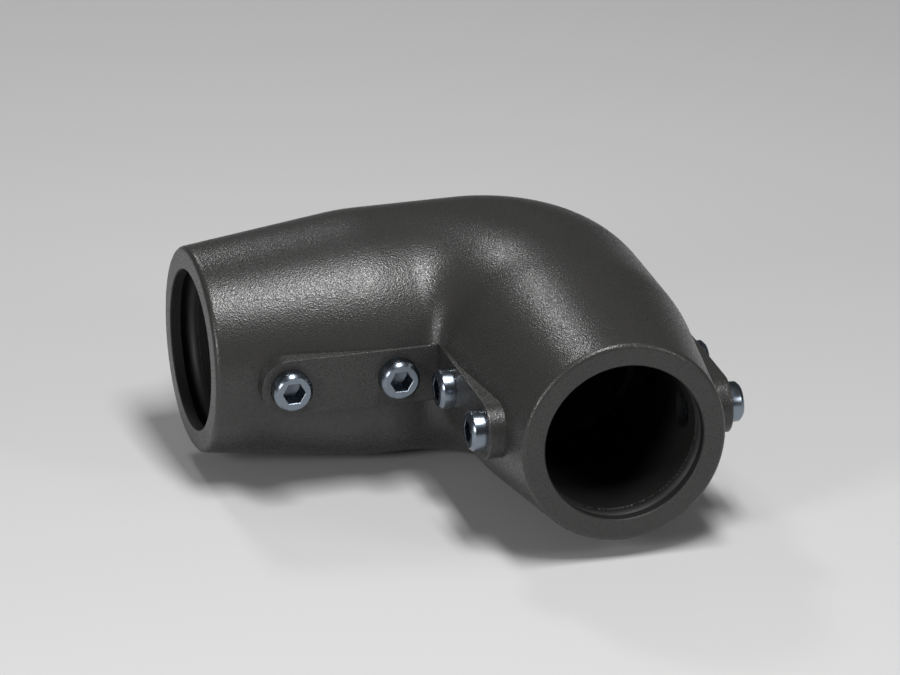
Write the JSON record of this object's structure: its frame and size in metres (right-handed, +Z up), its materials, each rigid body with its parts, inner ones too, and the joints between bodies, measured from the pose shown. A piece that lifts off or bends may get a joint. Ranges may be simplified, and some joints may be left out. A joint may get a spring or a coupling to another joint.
{
  "type": "tube elbow joint",
  "caption": "Rigid right-angle elbow that joins two round tubes: a cast body with two sockets, flat screw pads, a cable way through it and hexagon socket set screws that clamp the tubes.",
  "frame": {"origin": "where the axes of the two tube sockets cross", "axes": "socket A opens towards -X, socket B towards -Y, +Z up; the part is mirrored in its XY plane and in the upright plane between its arms"},
  "size_m": [0.1458, 0.1458, 0.0744],
  "materials": {
    "casting": "fine-grained dark grey powder coat",
    "zinc_screw": "bright blue-white zinc plate"
  },
  "bodies": {
    "elbow": {"elbow_casting": "casting"},
    "screw_a_inner_mouth": {"screw_a_inner_mouth": "zinc_screw"},
    "screw_a_inner_bend": {"screw_a_inner_bend": "zinc_screw"},
    "screw_a_outer_mouth": {"screw_a_outer_mouth": "zinc_screw"},
    "screw_a_outer_bend": {"screw_a_outer_bend": "zinc_screw"},
    "screw_b_inner_mouth": {"screw_b_inner_mouth": "zinc_screw"},
    "screw_b_inner_bend": {"screw_b_inner_bend": "zinc_screw"},
    "screw_b_outer_mouth": {"screw_b_outer_mouth": "zinc_screw"},
    "screw_b_outer_bend": {"screw_b_outer_bend": "zinc_screw"}
  },
  "joints": [
    {"name": "screw_a_inner_mouth_travel", "type": "slide", "parent": "elbow", "child": "screw_a_inner_mouth", "axis": [0, -1, 0], "range_m": [-0.0045, 0.009]},
    {"name": "screw_a_inner_bend_travel", "type": "slide", "parent": "elbow", "child": "screw_a_inner_bend", "axis": [0, -1, 0], "range_m": [-0.0045, 0.009]},
    {"name": "screw_a_outer_mouth_travel", "type": "slide", "parent": "elbow", "child": "screw_a_outer_mouth", "axis": [0, 1, 0], "range_m": [-0.0045, 0.009]},
    {"name": "screw_a_outer_bend_travel", "type": "slide", "parent": "elbow", "child": "screw_a_outer_bend", "axis": [0, 1, 0], "range_m": [-0.0045, 0.009]},
    {"name": "screw_b_inner_mouth_travel", "type": "slide", "parent": "elbow", "child": "screw_b_inner_mouth", "axis": [-1, 0, 0], "range_m": [-0.0045, 0.009]},
    {"name": "screw_b_inner_bend_travel", "type": "slide", "parent": "elbow", "child": "screw_b_inner_bend", "axis": [-1, 0, 0], "range_m": [-0.0045, 0.002]},
    {"name": "screw_b_outer_mouth_travel", "type": "slide", "parent": "elbow", "child": "screw_b_outer_mouth", "axis": [1, 0, 0], "range_m": [-0.0045, 0.009]},
    {"name": "screw_b_outer_bend_travel", "type": "slide", "parent": "elbow", "child": "screw_b_outer_bend", "axis": [1, 0, 0], "range_m": [-0.0045, 0.009]}
  ]
}
